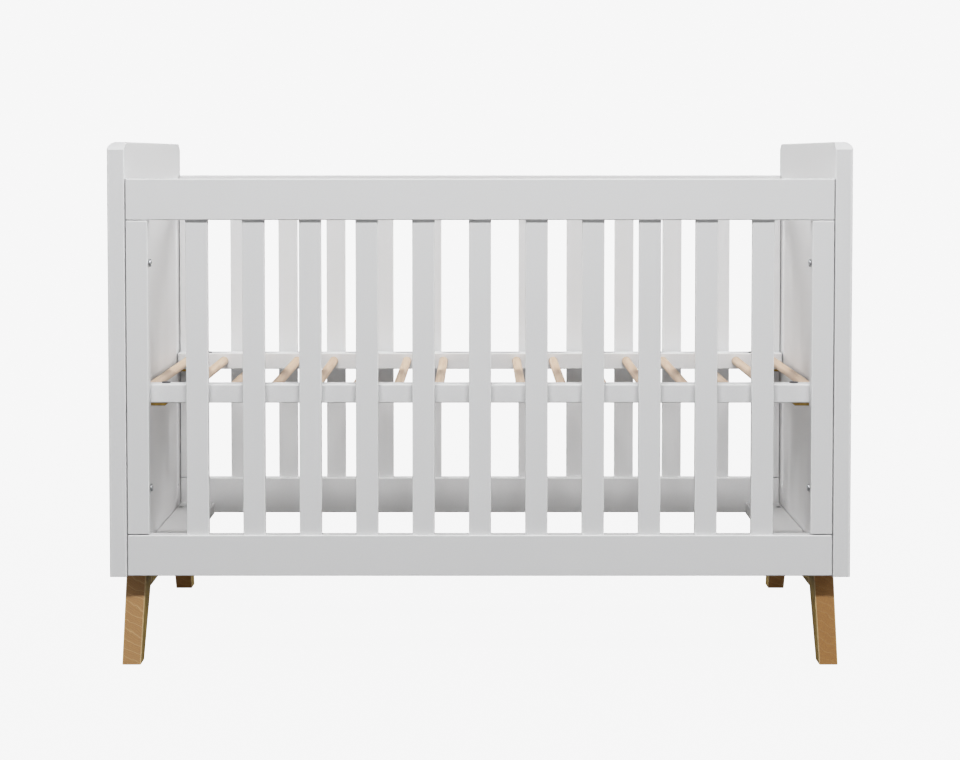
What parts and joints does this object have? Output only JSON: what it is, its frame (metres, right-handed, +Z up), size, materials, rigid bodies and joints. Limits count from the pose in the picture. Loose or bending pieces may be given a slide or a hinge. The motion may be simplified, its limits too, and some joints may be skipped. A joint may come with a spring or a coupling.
{
  "type": "baby crib",
  "caption": "Slatted baby crib with solid end panels, splayed wooden leg frames and a dowelled bed base that bolts in at several heights.",
  "frame": {"origin": "on the floor, under the middle of the crib", "axes": "+X along the length to the right, +Y from the front to the rear, +Z up"},
  "size_m": [1.266, 0.674, 0.893],
  "materials": {
    "painted_wood": "satin light grey-white paint",
    "leg_wood": "clear-lacquered light brown hardwood",
    "dowel_wood": "raw pale beech"
  },
  "bodies": {
    "crib_frame": {"end_panel_left": "painted_wood", "end_panel_right": "painted_wood", "front_top_rail": "painted_wood", "front_bottom_rail": "painted_wood", "front_stile_left": "painted_wood", "front_stile_right": "painted_wood", "rear_top_rail": "painted_wood", "rear_bottom_rail": "painted_wood", "rear_stile_left": "painted_wood", "rear_stile_right": "painted_wood", "front_slat_01": "painted_wood", "front_slat_02": "painted_wood", "front_slat_03": "painted_wood", "front_slat_04": "painted_wood", "front_slat_05": "painted_wood", "front_slat_06": "painted_wood", "front_slat_07": "painted_wood", "front_slat_08": "painted_wood", "front_slat_09": "painted_wood", "front_slat_10": "painted_wood", "front_slat_11": "painted_wood", "rear_slat_01": "painted_wood", "rear_slat_02": "painted_wood", "rear_slat_03": "painted_wood", "rear_slat_04": "painted_wood", "rear_slat_05": "painted_wood", "rear_slat_06": "painted_wood", "rear_slat_07": "painted_wood", "rear_slat_08": "painted_wood", "rear_slat_09": "painted_wood", "rear_slat_10": "painted_wood", "rear_slat_11": "painted_wood", "bottom_board_left": "painted_wood", "bottom_board_right": "painted_wood", "leg_front_left": "leg_wood", "leg_front_right": "leg_wood", "leg_rear_left": "leg_wood", "leg_rear_right": "leg_wood", "leg_beam_left": "leg_wood", "leg_beam_right": "leg_wood"},
    "bed_base": {"base_front_rail": "painted_wood", "base_rear_rail": "painted_wood", "base_dowel_01": "dowel_wood", "base_dowel_02": "dowel_wood", "base_dowel_03": "dowel_wood", "base_dowel_04": "dowel_wood", "base_dowel_05": "dowel_wood", "base_dowel_06": "dowel_wood", "base_dowel_07": "dowel_wood", "base_dowel_08": "dowel_wood", "base_dowel_09": "dowel_wood", "base_dowel_10": "dowel_wood", "base_dowel_11": "dowel_wood", "base_dowel_12": "dowel_wood", "base_dowel_13": "dowel_wood", "base_dowel_14": "dowel_wood", "base_dowel_15": "dowel_wood", "base_dowel_16": "dowel_wood", "base_dowel_17": "dowel_wood"}
  },
  "joints": [
    {"name": "base_height", "type": "slide", "parent": "crib_frame", "child": "bed_base", "axis": [0, 0, 1], "range_m": [-0.25, 0]}
  ]
}
